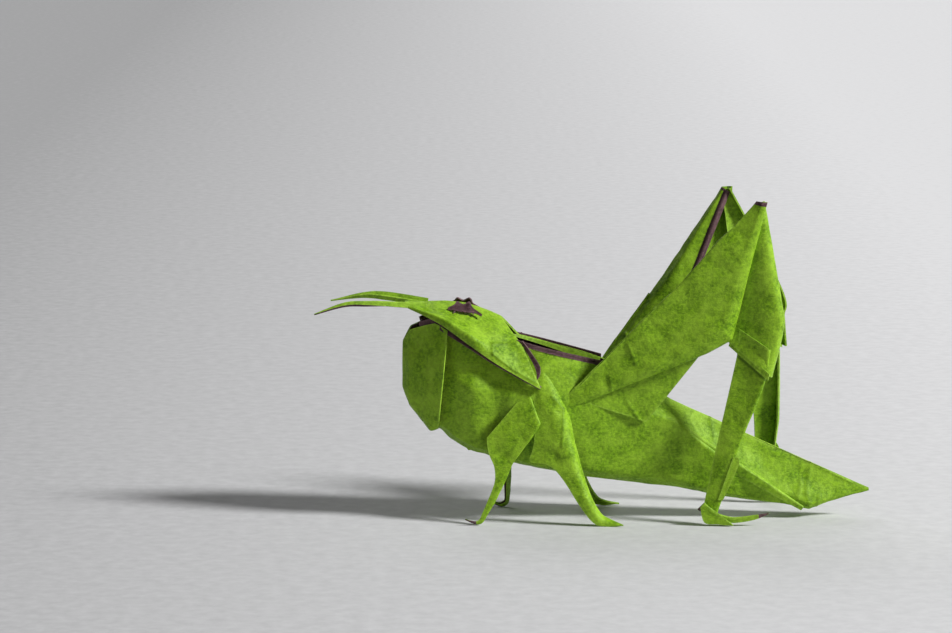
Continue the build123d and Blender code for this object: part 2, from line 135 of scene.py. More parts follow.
# Femur: its two middle stations as shares of the way from hip to knee, and how far its lower end runs on
# under the middle leg and sinks in
FEMUR_STOPS = (0.47, 0.57)
ROOT_TUCK, ROOT_SINK = -0.035, 0.6

# Rolled edge of the femur's cover, for a roll of one millimetre: how far it stands over the sleeve, where the
# roll starts and how far it rises, how far its hem lies back and in, and place and height of the puff beside
# the crease; then the size of the roll at each station
ROLL_LIFT = 1.0
ROLL_START, ROLL_RISE = 2.6, 0.5
HEM_BACK, HEM_IN = 0.1, 1.4
PUFF_PLACE, PUFF_HEIGHT = 0.25, 1.4
FEMUR_ROLLS = (0.4, 1.2, 1.5, 0.5)

# Keel x, keel z, back x, back z, half width, half gap at the back, height share of the widest fold
HEAD = (
    (NOSE_X, 33.0, NOSE_X, 44.5, 1.8, 1.4, 0.6),
    (FACE_X, 28.2, FACE_X + 0.5, 48.0, 4.4, 3.6, 0.6),
    (CHEEK_X, 22.0, CHEEK_X + 1.2, 50.0, 8.6, 7.4, 0.6),
    (COLLAR_X - 1.4, 22.6, COLLAR_X + 1.0, 48.4, 10.2, 9.0, 0.6),
)
BODY = (
    (COLLAR_X, 20.6, COLLAR_X + 1.0, 47.5, 9.5, 8.0, 0.6),
    (CHEST_X, 14.8, CHEST_X + 1.0, 45.2, 10.4, 7.2, 0.6),
    (MID_X, 11.6, MID_X, 43.4, 10.4, 8.4, 0.6),
    (HIP_X, 9.4, HIP_X, 39.3, 8.6, 5.6, 0.68),
    (WAIST_X, 7.6, WAIST_X, 29.6, 5.8, 0.8, 0.80),
    (VENT_X, 2.0, VENT_X, 13.8, 3.5, 0.8, 0.14),
)

# How far the runs between the rows are curved lengthwise, and the runs between the folds crosswise
HEAD_CURVE, BODY_CURVE = (0.3,), (0.7, 0.7, 0.7, 0.7, 0.5, 0.2, 0.0)
HEAD_BELLY, BODY_BELLY, SHIELD_BELLY, COLLAR_BELLY = 0.6, 0.15, 0.5, 0.2

# Ridge x, ridge z, hem x, hem z, half width at the shoulder, half width at the hem
SHIELD = (
    (NOSE_X + 0.5, CROWN_HEIGHT - 0.8, NOSE_X + 1.0, CROWN_HEIGHT - 2.0, 2.2, 3.6),
    (NOSE_X + 7.5, CROWN_HEIGHT, COLLAR_X - 0.8, CROWN_HEIGHT - 5.4, 5.0, 9.0),
    (NOSE_X + 14.0, CROWN_HEIGHT - 0.5, COLLAR_X + 6.8, CROWN_HEIGHT - 10.6, 6.8, 11.2),
    (NOSE_X + 19.0, CROWN_HEIGHT - 2.1, CHEST_X + 2.0, CROWN_HEIGHT - 15.5, 7.6, 11.7),
    (NOSE_X + 24.2, CROWN_HEIGHT - 4.5, MID_X - 0.3, CROWN_HEIGHT - 21.4, 8.4, 11.7),
)

# Brim of the shield: how far it stands out at each row, its place from shoulder to hem, and its rise
BRIMS = (0.3, 1.3, 2.2, 1.2, 0.2)
BRIM_PLACE, BRIM_RISE = 0.6, 0.5

# Collar under the shield: how far its hem drops at each row, and how far its ridge and shoulder are inside
COLLAR_DROPS = (0.6, 0.2, -0.6)
COLLAR_RIDGE, COLLAR_SHOULDER = 1.4, 1.6

# Purple tabs on the brow and behind the shield, each as the points of its lower or hidden edge and then of
# its upper or seen one: x, distance from the middle, z
BROW = (
    ((-35.6, 3.6, 52.8), (-34.0, 4.0, 52.7), (-32.6, 4.3, 52.4), (-31.2, 4.4, 52.3), (-30.2, 4.5, 52.2),
     (-29.2, 4.4, 52.2), (-27.4, 5.0, 51.4)),
    ((-35.8, 3.3, 53.3), (-34.2, 3.1, 54.1), (-33.4, 2.7, 54.9), (-31.9, 3.0, 54.2), (-30.4, 2.7, 54.8),
     (-29.6, 3.4, 53.4), (-27.2, 4.8, 51.9)),
)
BROW_FOLD = (
    ((-34.4, 4.9, 52.3), (-33.0, 4.0, 53.0), (-31.6, 4.9, 52.6), (-30.4, 4.1, 52.9), (-29.4, 5.0, 51.9)),
    ((-34.0, 3.4, 53.6), (-33.2, 3.4, 54.2), (-31.4, 3.7, 53.6), (-30.2, 3.2, 54.2), (-29.0, 4.2, 52.8)),
)
NECK_TUCK = (
    ((-18.4, 7.2, 45.4), (-16.0, 8.8, 42.6), (-14.0, 10.2, 39.0), (-13.6, 11.0, 36.4)),
    ((-17.3, 8.1, 45.6), (-15.0, 9.2, 42.8), (-12.9, 10.3, 39.6), (-13.0, 11.0, 37.2)),
)
# How far the purple lining hangs below the shield's hem at each row; its dark strip also stands in as painted
# shadow under the hem
SHADOW_LINING_DROPS = (1.5, 0.8, 0.4, 0.1)
TAB_CRUMPLE = 3.0

# Looks of the two papers: deep, main and pale colour of the pulp, colour and share of the pale folds and
# edges, partly wear and partly painted highlight, strength of the fibres, and roughness
GREEN_LOOK = {
    "deep": (0.085, 0.190, 0.002), "main": (0.235, 0.45, 0.010), "pale": (0.41, 0.67, 0.045),
    "worn_and_lit": (0.48, 0.72, 0.11), "wear_and_highlight_share": 0.32, "fibre_strength": 0.4, "rough": 0.5,
}
PURPLE_LOOK = {
    "deep": (0.016, 0.005, 0.007), "main": (0.060, 0.022, 0.030), "pale": (0.20, 0.11, 0.12),
    "worn_and_lit": (0.30, 0.18, 0.19), "wear_and_highlight_share": 0.4, "fibre_strength": 0.7, "rough": 0.5,
}
CLOUD_SHARE = 0.5
# How dark the painted shade in a pressed crease gets, as a share of the deep colour
PRESS_SHADE = 0.6
BUMP_STRENGTH, BUMP_DISTANCE = 0.5, 0.00012
ROUGH_MORE, ROUGH_LESS = 0.1, 0.08
PAPER_SHEEN = 0.2

# Pulp: features to a metre, detail and roughness of each noise, and the range of it that shows; the turn of
# the two sets of fibres, and how many lie side by side and end to end in a metre
FLECK_NOISE, FLECK_RANGE = (1250.0, 5.0, 0.68), (0.39, 0.63)
CLOUD_NOISE, CLOUD_RANGE = (210.0, 3.0, 0.55), (0.34, 0.66)
TOOTH_NOISE = (5200.0, 3.0, 0.6)
FIBRE_NOISE, FIBRE_RANGE = (1.0, 2.0, 0.5), (0.60, 0.74)
FIRST_FIBRES = ((20.0, 35.0, 50.0), 3200.0, 420.0)
SECOND_FIBRES = ((-40.0, -25.0, 110.0), 3600.0, 380.0)
FLECK_HEIGHT, FIBRE_HEIGHT = 0.5, 0.4
# Least share of the pale wear and painted highlight on a fold, where the pulp is tight
LEAST_RUBBED_AND_LIT = 0.45

# Studio: where the lights come from, their spread in degrees and their strength, the world's light, its grey
# and the grey that the camera sees, reach of the floor, greys of its card from left to right and the span of
# x over which it goes from one to the other as a painted shade darker to the left, and its pulp
KEY_PLACE, KEY_SPREAD, KEY_STRENGTH = (0.77, -0.28, 0.57), 11.0, 4.2
REAR_PLACE, REAR_SPREAD, REAR_STRENGTH = (-0.35, 0.75, 0.6), 40.0, 0.7
AMBIENT_STRENGTH = 0.14
AMBIENT_GREY = (0.8, 0.8, 0.8)
SKY_GREY = (0.52, 0.52, 0.525)
FLOOR_REACH = 7.0
CARD_GREYS = ((0.36, 0.36, 0.365), (0.76, 0.76, 0.77))
CARD_SHADE_FADE = (-0.26, 0.16)
CARD_NOISE, CARD_RANGE = (260.0, 5.0, 0.6), (0.3, 0.7, -0.1, 0.1)
CARD_ROUGHNESS, CARD_SHEEN = 0.85, 0.1

# Camera: lens and width of its sensor in millimetres, place in metres, and tilt in degrees, where 90 is level
LENS, SENSOR_WIDTH = 151.26, 36.0
CAMERA_PLACE, CAMERA_TILT = (-0.02925, -0.99265, 0.18987), 82.0

LEFT, RIGHT = -1, 1
SIDE_NAMES = {LEFT: "left", RIGHT: "right"}
FORWARD, BACKWARD = np.array((-1.0, 0, 0)), np.array((1.0, 0, 0))
UP, DOWN = np.array((0, 0, 1.0)), np.array((0, 0, -1.0))


def unit(vectors):
    """Vectors brought to length one."""
    return vectors / np.maximum(np.linalg.norm(vectors, axis=-1, keepdims=True), 1e-9)


def between(low, high, share):
    """A row part of the way from one row to another."""
    return tuple(a + (b - a) * share for a, b in zip(low, high))


def half_folds(row):
    """Folds of half a trough above its keel: distance from the middle, and share of the height."""
    half_width, half_gap, widest = row[4:]
    share_out, share_up = LOWER_FOLD
    return [(half_width * share_out, widest * share_up), (half_width, widest), (half_gap, 1.0)]


def half_body(x, z):
    """Half width of the body's wall at a place along it and a height."""
    low, high = BODY[0], BODY[1]
    for first, second in zip(BODY, BODY[1:]):
        if x >= first[0]:
            low, high = first, second
    row = between(low, high, (x - low[0]) / (high[0] - low[0]))
    height = min(max((z - row[1]) / (row[3] - row[1]), 0.0), 1.0)
    folds = [(0.0, 0.0), *half_folds(row)]
    return float(np.interp(height, [t for _, t in folds], [y for y, _ in folds]))


def both_sides(middle, half):
    """Fold points across a strip that is alike on both sides of its middle fold."""
    return [(x, -out, z) for x, out, z in reversed(half)] + [middle, *half]


def trough(row):
    """Fold points across a trough, from one back edge round the keel to the other."""
    keel, back = row[0:2], row[2:4]
    half = []
    for out, share in half_folds(row):
        x, z = between(keel, back, share)
        half.append((x, out, z))
    return both_sides((keel[0], 0.0, keel[1]), half)


def roof(row, brim=None):
    """Fold points across a roof, from one hem over the ridge to the other, with a brim if one is given."""
    ridge_x, ridge_z, hem_x, hem_z, shoulder, hem = row
    share_back, share_down = SHOULDER_FOLD
    shoulder_x = ridge_x + (hem_x - ridge_x) * share_back
    shoulder_z = ridge_z + (hem_z - ridge_z) * share_down
    half = [(shoulder_x, shoulder, shoulder_z), (hem_x, hem, hem_z)]
    if brim is not None:
        x, out, z = between(half[0], half[1], BRIM_PLACE)
        half.insert(1, (x, out + brim, z + brim * BRIM_RISE))
    return both_sides((ridge_x, 0.0, ridge_z), half)


def limb(side, aim, tilt, fold, rows):
    """Fold points of a strip creased along its middle: edge of the flap, crease, edge of the tuck."""
    creases = np.array([(row[0], side * row[1], row[2]) for row in rows])
    runs = unit(np.diff(creases, axis=0))
    stations = []
    for i, (crease, row) in enumerate(zip(creases, rows)):
        before, after = runs[max(i - 1, 0)], runs[min(i, len(runs) - 1)]
        run = unit(before + after)
        mitre = run @ before
        outward = np.array((0.0, side, 0.0))
        outward = unit(outward - run * (outward @ run))
        across = np.cross(run, outward)
        if across @ aim < 0:
            across = -across
        aim = across
        flap = unit(across * cos(radians(tilt)) - outward * sin(radians(tilt)) * mitre)
        tuck = unit(across * cos(radians(fold)) - outward * sin(radians(fold)) * mitre)
        stations.append([crease + flap * row[3] + run * row[5], crease, crease + tuck * row[4]])
    return np.array(stations)


def even_shares(span, step):
    """Places from one row to the next, evenly spaced."""
    return list(np.linspace(0.0, 1.0, max(2, ceil(span / step)) + 1)[:-1])


def fold_shares(span, step):
    """Places from one fold to the next, close together beside both folds."""
    close = [place / span for place in FOLD_PLACES if place < span * 0.3]
    if not close:
        return even_shares(span, step)
    middle = np.linspace(close[-1], 1.0 - close[-1], max(2, ceil(span / step)))
    return [0.0, *close[:-1], *middle, *[1.0 - share for share in reversed(close[:-1])]]


def spread(rows, step, bends, shares):
    """Rows filled in between the given ones: straight runs for a bend of 0, a smooth curve for 1."""
    filled, marks = [], []
    for i in range(len(rows) - 1):
        low, high = rows[i], rows[i + 1]
        before, after = rows[max(i - 1, 0)], rows[min(i + 2, len(rows) - 1)]
        span = max(np.linalg.norm(high - low, axis=-1).max(), 0.01)
        for t in shares(span, step):
            straight = low + (high - low) * t
            pull = (high - before) * t + (2 * before - 5 * low + 4 * high - after) * t * t
            curve = low + (pull + (3 * low - before - 3 * high + after) * t**3) / 2
            filled.append(straight + (curve - straight) * bends[min(i, len(bends) - 1)])
            marks.append(t == 0.0)
    return np.array([*filled, rows[-1]]), [i for i, mark in enumerate([*marks, True]) if mark]


def nearness(grid, lines, axis, width):
    """How near each point is to the given lines of the grid, from 1 on a line down to 0."""
    steps = np.linalg.norm(np.diff(grid, axis=axis), axis=-1)
    place = np.insert(np.cumsum(steps, axis=axis), 0, 0.0, axis=axis)
    distance = np.min([np.abs(place - np.take(place, [line], axis=axis)) for line in lines], axis=0)
    return np.exp(-((distance / width) ** 2))


def rounded(grid, folds, width):
    """The grid with its folds rounded off over a width."""
    if not folds:
        return grid
    softness = nearness(grid, folds, 1, width)[:, 1:-1, None] * ROUND_SHARE
    for _ in range(round(ROUND_PASSES * width / ROUND_WIDTH)):
        grid[:, 1:-1] += softness * ((grid[:, :-2] + grid[:, 2:]) / 2 - grid[:, 1:-1])
    return grid


def bent_round(stations, number, before, after):
    """The stations with one fold bent round instead of sharp, over a width on each side of it."""
    rounder = []
    for folds in stations:
        folds = [np.array(point) for point in folds]
        fold = folds[number]
        ends = []
        for neighbour, width in ((folds[number - 1], before), (folds[number + 1], after)):
            span = max(np.linalg.norm(neighbour - fold), 1e-6)
            ends.append(fold + (neighbour - fold) * min(width / span, BEND_LIMIT))
        arc = [ends[0] * (1 - t) ** 2 + fold * 2 * t * (1 - t) + ends[1] * t**2 for t in BEND_SHARES]
        rounder.append([*folds[:number], *arc, *folds[number + 1:]])
    return rounder


def line_nearness(grid, start, end, width):
    """How near each point is to a line seen from the side, from 1 on it down to 0; 0 on the other side."""
    flat, low, high = grid[..., [0, 2]], np.array(start)[[0, 2]], np.array(end)[[0, 2]]
    run = high - low
    share = np.clip(((flat - low) @ run) / (run @ run), 0.0, 1.0)
    distance = np.linalg.norm(flat - low - share[..., None] * run, axis=-1)
    return np.exp(-((distance / width) ** 2)) * (grid[..., 1] * start[1] > 0)


def crumpled(points, normals, amounts):
    """Points moved along their normals by a slow warp, by flat facets and by fine wrinkles."""
    moved = np.empty_like(points)
    for i, point in enumerate(points):
        place = Vector(point)
        slow = noise.noise_vector(place / WARP_SIZE)
        facet = noise.noise(place / FACET_SIZE, noise_basis="VORONOI_F2F1")
        wrinkle = noise.noise(place / WRINKLE_SIZE)
        rise = (facet - FACET_MEAN) * FACET_HEIGHT + wrinkle * WRINKLE_HEIGHT
        warp = normals[i] * (slow @ Vector(normals[i])) * WARP_HEIGHT
        moved[i] = point + (warp + normals[i] * rise) * amounts[i]
    return moved


def lay_paper(name, stations, papers, tip=None, curve=(1.0,), belly=0.0, step=GRID, paper=PAPER, crumple=1.0,
              rubbed_and_lit=None, creases=(), end_from=1.0, fold_width=ROUND_WIDTH):
    """A strip of paper through the fold points of its stations, as one closed thin mesh.

    The papers are those of its outside, inside, rim and end. The outside is the side that the middle fold
    points to, and the end is what the outside shows past the share end_from of its length. The folds that are
    paled with wear and painted highlight are given by their numbers, or else are all of them. A crease is a
    line
    on the paper: start, end, height, width and the depth of its painted shade.
    """
    rows = np.array(stations, float)
    if tip is not None:
        last = rows[-1]
        rows = np.concatenate([rows, [np.array(tip) + (last - last.mean(axis=0)) * TIP_SHARE]])
    filled, _ = spread(rows, step, curve, even_shares)
    columns, folds = spread(filled.transpose(1, 0, 2), step, (belly,), fold_shares)
    grid = rounded(columns.transpose(1, 0, 2).copy(), folds[1:-1], fold_width)
    middle = folds[len(folds) // 2]
    # Pale line along folds and cut edges: partly wear, partly painted highlight
    wear_and_light = nearness(grid, folds if rubbed_and_lit is None else [folds[i] for i in rubbed_and_lit], 1, WEAR_AND_HIGHLIGHT_WIDTH)
    wear_and_light = np.maximum(wear_and_light, nearness(grid, [0] if tip is not None else [0, -1], 0, WEAR_AND_HIGHLIGHT_WIDTH))

    normals = unit(np.cross(np.gradient(grid, axis=0), np.gradient(grid, axis=1)))
    outward = grid[:, middle] - (grid[:, 0] + grid[:, -1]) / 2
    turned = (normals[:, middle] * outward).sum() < 0
    if turned:
        normals = -normals
    # Each crease is raised and darkened with painted shade
    for start, end, height, width, shade in creases:
        line = line_nearness(grid, start, end, width)
        grid = grid + normals * (line * height)[..., None]
        wear_and_light = wear_and_light * (1.0 - line * shade) - line * shade

    count_u, count_v = grid.shape[:2]
    flat_normals = normals.reshape(-1, 3)
    straight = np.maximum(*[nearness(grid, [0, -1], axis, STRAIGHT_WIDTH) for axis in (1, 0)])
    amounts = crumple * (1.0 - STRAIGHT_SHARE * straight)
    middle_sheet = crumpled(grid.reshape(-1, 3), flat_normals, amounts.ravel())
    half = flat_normals * paper / 2
    points = np.concatenate([middle_sheet + half, middle_sheet - half])
    points[:, 2] = np.maximum(points[:, 2], 0.0)

    index = np.arange(count_u * count_v).reshape(count_u, count_v)
    a, b = index[:-1, :-1].ravel(), index[1:, :-1].ravel()
    c, d = index[1:, 1:].ravel(), index[:-1, 1:].ravel()
    top = np.stack([a, b, c, d], axis=1)
    under = count_u * count_v
    bottom = top[:, ::-1] + under
    loop = np.concatenate([index[:-1, 0], index[-1, :-1], index[:0:-1, -1], index[0, :0:-1]])
    ahead = np.roll(loop, -1)
    edge = np.stack([loop, loop + under, ahead + under, ahead], axis=1)
    faces = np.concatenate([top, bottom, edge])
    if turned:
        faces = faces[:, ::-1]
    share_along = np.repeat(np.linspace(0, 1, count_u)[:-1], count_v - 1)
    outer_slot = np.where(share_along >= end_from, len(papers) - 1, 0)
    inner_slot = np.where(share_along >= (TIP_FROM if tip is not None else 1.0), 2, 1)
    slots = np.concatenate([outer_slot, inner_slot, np.full(len(edge), 2)])

    mesh = bpy.data.meshes.new(name)
    mesh.from_pydata(((points - FOLDS_ORIGIN) * MM).tolist(), [], faces.tolist())
    for finish in papers:
        mesh.materials.append(finish)
    mesh.polygons.foreach_set("material_index", slots.astype(np.int32))
    attribute = mesh.attributes.new("fold", "FLOAT", "POINT")
    attribute.data.foreach_set("value", np.tile(wear_and_light.ravel(), 2).astype(np.float32))
    mesh.shade_smooth()
    mesh.set_sharp_from_angle(angle=radians(SHARP_ANGLE))
    mesh.update()
    strip = bpy.data.objects.new(name, mesh)
    bpy.context.scene.collection.objects.link(strip)
    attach(strip, BODY_NAME)
    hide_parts(NODE_NAME)


def lay_ribbon(name, side, first_edge, second_edge, papers, crumple=1.0):
    """A narrow strip between two edges, each a line of points: x, distance from the middle, z."""
    stations = [[(x, side * out, z) for x, out, z in pair] for pair in zip(first_edge, second_edge)]
    lay_paper(name, stations, papers, step=TRIM_GRID, crumple=crumple)


def new_material(name):
    """A material, its node tree and its shader."""
    material = bpy.data.materials.new(name)
    material.use_nodes = True
    tree = material.node_tree
    return material, tree, tree.nodes["Principled BSDF"]


def mix_colors(tree, share, low, high):
    """A mix of two colours, each a colour or a socket, by a share that is a socket."""
    node = tree.nodes.new("ShaderNodeMix")
    node.data_type = "RGBA"
    tree.links.new(share, node.inputs["Factor"])
    for label, value in (("A", low), ("B", high)):
        socket = [s for s in node.inputs if s.name == label and s.type == "RGBA"][0]
        if isinstance(value, tuple):
            socket.default_value = (*value, 1.0)
        else:
            tree.links.new(value, socket)
    return [s for s in node.outputs if s.type == "RGBA"][0]


def remap(tree, value, low, high, start=0.0, end=1.0):
    """A value stretched from one range to another, and held inside it."""
    node = tree.nodes.new("ShaderNodeMapRange")
    tree.links.new(value, node.inputs["Value"])
    for label, number in (("From Min", low), ("From Max", high), ("To Min", start), ("To Max", end)):
        node.inputs[label].default_value = number
    return node.outputs["Result"]


def math_node(tree, operation, first, second):
    """Two values, each a number or a socket, put together."""
    node = tree.nodes.new("ShaderNodeMath")
    node.operation = operation
    for socket, value in zip(node.inputs, (first, second)):
        if isinstance(value, (int, float)):
            socket.default_value = value
        else:
            tree.links.new(value, socket)
    return node.outputs["Value"]


def noise_field(tree, place, scale, detail, rough):
    """Cloudy noise at a number of features to a metre."""
    node = tree.nodes.new("ShaderNodeTexNoise")
    tree.links.new(place, node.inputs["Vector"])
    node.inputs["Scale"].default_value = scale
    node.inputs["Detail"].default_value = detail
    node.inputs["Roughness"].default_value = rough
    return node.outputs["Fac"]


def fibre_field(tree, place, turn, across, along):
    """Long thin fibres that all lie about one way, as a value that is 1 on a fibre."""
    mapping = tree.nodes.new("ShaderNodeMapping")
    tree.links.new(place, mapping.inputs["Vector"])
    mapping.inputs["Rotation"].default_value = [radians(angle) for angle in turn]
    mapping.inputs["Scale"].default_value = (along, across, across)
    return remap(tree, noise_field(tree, mapping.outputs["Vector"], *FIBRE_NOISE), *FIBRE_RANGE)


def make_grain_group():
    """The pulp of the paper: flecks, clouds, fibres and the height of its tooth."""
    group = bpy.data.node_groups.new("paper_grain", "ShaderNodeTree")
    for label in ("Flecks", "Clouds", "Fibres", "Height"):
        group.interface.new_socket(label, in_out="OUTPUT", socket_type="NodeSocketFloat")
    out = group.nodes.new("NodeGroupOutput")
    place = group.nodes.new("ShaderNodeTexCoord").outputs["Object"]
    flecks = remap(group, noise_field(group, place, *FLECK_NOISE), *FLECK_RANGE)
    clouds = remap(group, noise_field(group, place, *CLOUD_NOISE), *CLOUD_RANGE)
    first = fibre_field(group, place, *FIRST_FIBRES)
    second = fibre_field(group, place, *SECOND_FIBRES)
    fibres = math_node(group, "MAXIMUM", first, second)
    tooth = noise_field(group, place, *TOOTH_NOISE)
    height = math_node(group, "ADD", math_node(group, "MULTIPLY", flecks, FLECK_HEIGHT), tooth)
    height = math_node(group, "ADD", height, math_node(group, "MULTIPLY", fibres, FIBRE_HEIGHT))
    for label, value in (("Flecks", flecks), ("Clouds", clouds), ("Fibres", fibres), ("Height", height)):
        group.links.new(value, out.inputs[label])
    return group


def make_wear_and_light_group():
    """Wear with painted highlight along folds and cut edges, stronger where the pulp is loose; painted shade
    of creases.
    """
    group = bpy.data.node_groups.new("fold_wear_and_light", "ShaderNodeTree")
    group.interface.new_socket("Flecks", in_out="INPUT", socket_type="NodeSocketFloat")
    for label in ("WearAndHighlight", "CreaseShade"):
        group.interface.new_socket(label, in_out="OUTPUT", socket_type="NodeSocketFloat")
    source = group.nodes.new("NodeGroupInput")
    out = group.nodes.new("NodeGroupOutput")
    fold = group.nodes.new("ShaderNodeAttribute")
    fold.attribute_name = "fold"
    rubbed_and_lit = remap(group, source.outputs["Flecks"], 0.0, 1.0, LEAST_RUBBED_AND_LIT, 1.0)
    worn_and_lit = math_node(group, "MULTIPLY", math_node(group, "MAXIMUM", fold.outputs["Fac"], 0.0), rubbed_and_lit)
    painted_crease_shade = math_node(group, "MAXIMUM", math_node(group, "MULTIPLY", fold.outputs["Fac"], -1.0), 0.0)
    group.links.new(worn_and_lit, out.inputs["WearAndHighlight"])
    group.links.new(painted_crease_shade, out.inputs["CreaseShade"])
    return group


def make_paper(name, grain_group, wear_and_light_group, deep, main, pale, worn_and_lit, wear_and_highlight_share, fibre_strength, rough):
    """One colour of the sheet: flecks, pale clouds and fibres, folds paled by wear and painted highlight, and
    creases darkened by painted shade.
    """
    material, tree, shader = new_material(name)
    grain = tree.nodes.new("ShaderNodeGroup")
    grain.node_tree = grain_group
    wear_and_light = tree.nodes.new("ShaderNodeGroup")
    wear_and_light.node_tree = wear_and_light_group
    tree.links.new(grain.outputs["Flecks"], wear_and_light.inputs["Flecks"])
    base = mix_colors(tree, grain.outputs["Flecks"], deep, main)
    cloud_share = math_node(tree, "MULTIPLY", grain.outputs["Clouds"], CLOUD_SHARE)
    base = mix_colors(tree, cloud_share, base, pale)
    fibre_share = math_node(tree, "MULTIPLY", grain.outputs["Fibres"], fibre_strength)
    base = mix_colors(tree, fibre_share, base, pale)
    # Folds and cut edges paled, partly as wear and partly as painted highlight
    fold_share = math_node(tree, "MULTIPLY", wear_and_light.outputs["WearAndHighlight"], wear_and_highlight_share)
    base = mix_colors(tree, fold_share, base, worn_and_lit)
    # Painted shade: pressed creases and the lines under the cuff darkened towards the deep colour
    base = mix_colors(tree, wear_and_light.outputs["CreaseShade"], base, tuple(PRESS_SHADE * part for part in deep))
    tree.links.new(base, shader.inputs["Base Color"])
    roughness = remap(tree, grain.outputs["Flecks"], 0.0, 1.0, rough + ROUGH_MORE, rough - ROUGH_LESS)
    tree.links.new(roughness, shader.inputs["Roughness"])
    bump = tree.nodes.new("ShaderNodeBump")
    bump.inputs["Strength"].default_value = BUMP_STRENGTH
    bump.inputs["Distance"].default_value = BUMP_DISTANCE
    tree.links.new(grain.outputs["Height"], bump.inputs["Height"])
    tree.links.new(bump.outputs["Normal"], shader.inputs["Normal"])
    shader.inputs["Specular IOR Level"].default_value = PAPER_SHEEN
    return material


def make_floor_paper():
    """Plain pale grey card under the model, painted a little darker to the left as shade."""
    material, tree, shader = new_material("pale_card")
    place = tree.nodes.new("ShaderNodeTexCoord").outputs["Object"]
    axes = tree.nodes.new("ShaderNodeSeparateXYZ")
    tree.links.new(place, axes.inputs["Vector"])
    # Painted shade: the card fades darker towards the left
    shade_fade = remap(tree, axes.outputs["X"], *CARD_SHADE_FADE)
    pulp = remap(tree, noise_field(tree, place, *CARD_NOISE), *CARD_RANGE)
    tone = math_node(tree, "ADD", shade_fade, pulp)
    tree.links.new(mix_colors(tree, tone, *CARD_GREYS), shader.inputs["Base Color"])
    shader.inputs["Roughness"].default_value = CARD_ROUGHNESS
    shader.inputs["Specular IOR Level"].default_value = CARD_SHEEN
    return material


# Creases pressed into the left flank, shield, femur and middle leg: start and end; then their rise and the
# depth of their painted shade
FLANK_CREASES = (
    ((8.3, -9.0, 31.0), (13.3, -8.0, 23.8)),
    ((55.2, -2.0, 13.9), (54.1, -2.6, 6.4)),
    ((54.1, -2.6, 6.4), (55.0, -2.4, 2.7)),
    ((52.7, -3.0, 9.9), (51.9, -3.0, 5.4)),
    ((57.5, -1.8, 5.7), (56.7, -1.8, 3.2)),
    ((39.3, -3.5, 21.6), (65.2, -1.2, 8.8)),
    ((30.0, -4.0, 25.0), (31.0, -5.0, 19.5)),
)
SHIELD_CREASES = (
    ((-24.5, -11.0, 45.4), (-18.8, -10.0, 45.0)),
    ((-24.5, -11.0, 45.4), (-24.5, -11.5, 42.9)),
    ((-24.5, -11.5, 42.9), (-20.1, -11.7, 39.4)),
    ((-20.1, -11.7, 39.4), (-13.6, -11.7, 35.4)),
)
FEMUR_CREASES = (
    ((8.8, -12.0, 45.3), (10.8, -11.6, 40.3)),
    ((4.4, -11.0, 36.9), (4.9, -10.6, 33.4)),
)
MID_CREASES = (
    ((-9.9, -12.0, 32.1), (-7.0, -13.0, 29.0)),
    ((-7.0, -13.0, 29.0), (-7.4, -13.0, 20.0)),
)
CREASE_RISE, CREASE_SHADE = 0.2, 0.28

# Soft dents along the chest: start, end, height and width
CHEST_DENTS = (
    ((-36.0, -10.0, 47.0), (-37.6, -8.8, 22.0), -1.3, 2.4),
    ((-29.5, -10.4, 44.0), (-29.0, -9.0, 19.0), 0.6, 3.0),
    ((-23.5, -10.6, 42.0), (-22.5, -9.0, 17.0), -0.6, 2.6),
)


def pressed(creases, side):
    """The creases of one side, with their rise, width and painted shade."""
    lines = []
    for start, end in creases:
        mirrored = [(x, -side * y, z) for x, y, z in (start, end)]
        lines.append((*mirrored, CREASE_RISE, CREASE_WIDTH, CREASE_SHADE))
    return lines


def dented(dents, side):
    """The dents of one side, without any shade of their own."""
    return [((x, -side * y, z), (x2, -side * y2, z2), height, width, 0.0)
            for (x, y, z), (x2, y2, z2), height, width in dents]


def lay_head_and_body(green, purple):
    """Head with its cheek flaps, and the trough of the body tucked in behind them."""
    papers = (green, purple, green)
    lay_paper("head", [trough(row) for row in HEAD], papers, curve=HEAD_CURVE, belly=HEAD_BELLY,
              rubbed_and_lit=(0, 3, 6))
    keel_x, keel_z, back_x, back_z, half_width, half_gap, widest = between(HEAD[1], HEAD[2], 0.8)
    inset = (keel_x, keel_z + 0.25, back_x, back_z - 1.5, half_width - 0.25, half_gap - 0.25, widest)
    abdomen = [between(BODY[4], BODY[5], share) for share in (0.25, 0.5, 0.75)]
    stations = [trough(row) for row in (inset, *BODY[:5], *abdomen, BODY[5])]
    creases = []
    for side in (LEFT, RIGHT):
        creases += pressed(FLANK_CREASES, side) + dented(CHEST_DENTS, side)
    lay_paper("body", stations, papers, tip=TAIL_TIP, curve=BODY_CURVE, belly=BODY_BELLY, rubbed_and_lit=(0, 3, 6),
              creases=creases)


def lay_shield(green, purple):
    """Shield over the neck, and the purple collar under it."""
    creases = pressed(SHIELD_CREASES, LEFT) + pressed(SHIELD_CREASES, RIGHT)
    stations = [roof(*pair) for pair in zip(SHIELD, BRIMS)]
    lay_paper("shield", stations, (green, green, green), belly=SHIELD_BELLY, paper=SHIELD_PAPER,
              step=FINE_GRID, rubbed_and_lit=(0, 3, 6), crumple=1.4, creases=creases)
    collar = []
    for row, drop in zip(SHIELD[1:4], COLLAR_DROPS):
        ridge_x, ridge_z, hem_x, hem_z, shoulder, _ = row
        hem_z = hem_z - drop
        hem = half_body(hem_x, hem_z) + 0.1
        collar.append(roof((ridge_x, ridge_z - COLLAR_RIDGE, hem_x, hem_z, shoulder - COLLAR_SHOULDER, hem)))
    lay_paper("collar", collar, (purple, purple, purple), belly=COLLAR_BELLY, crumple=0.5)


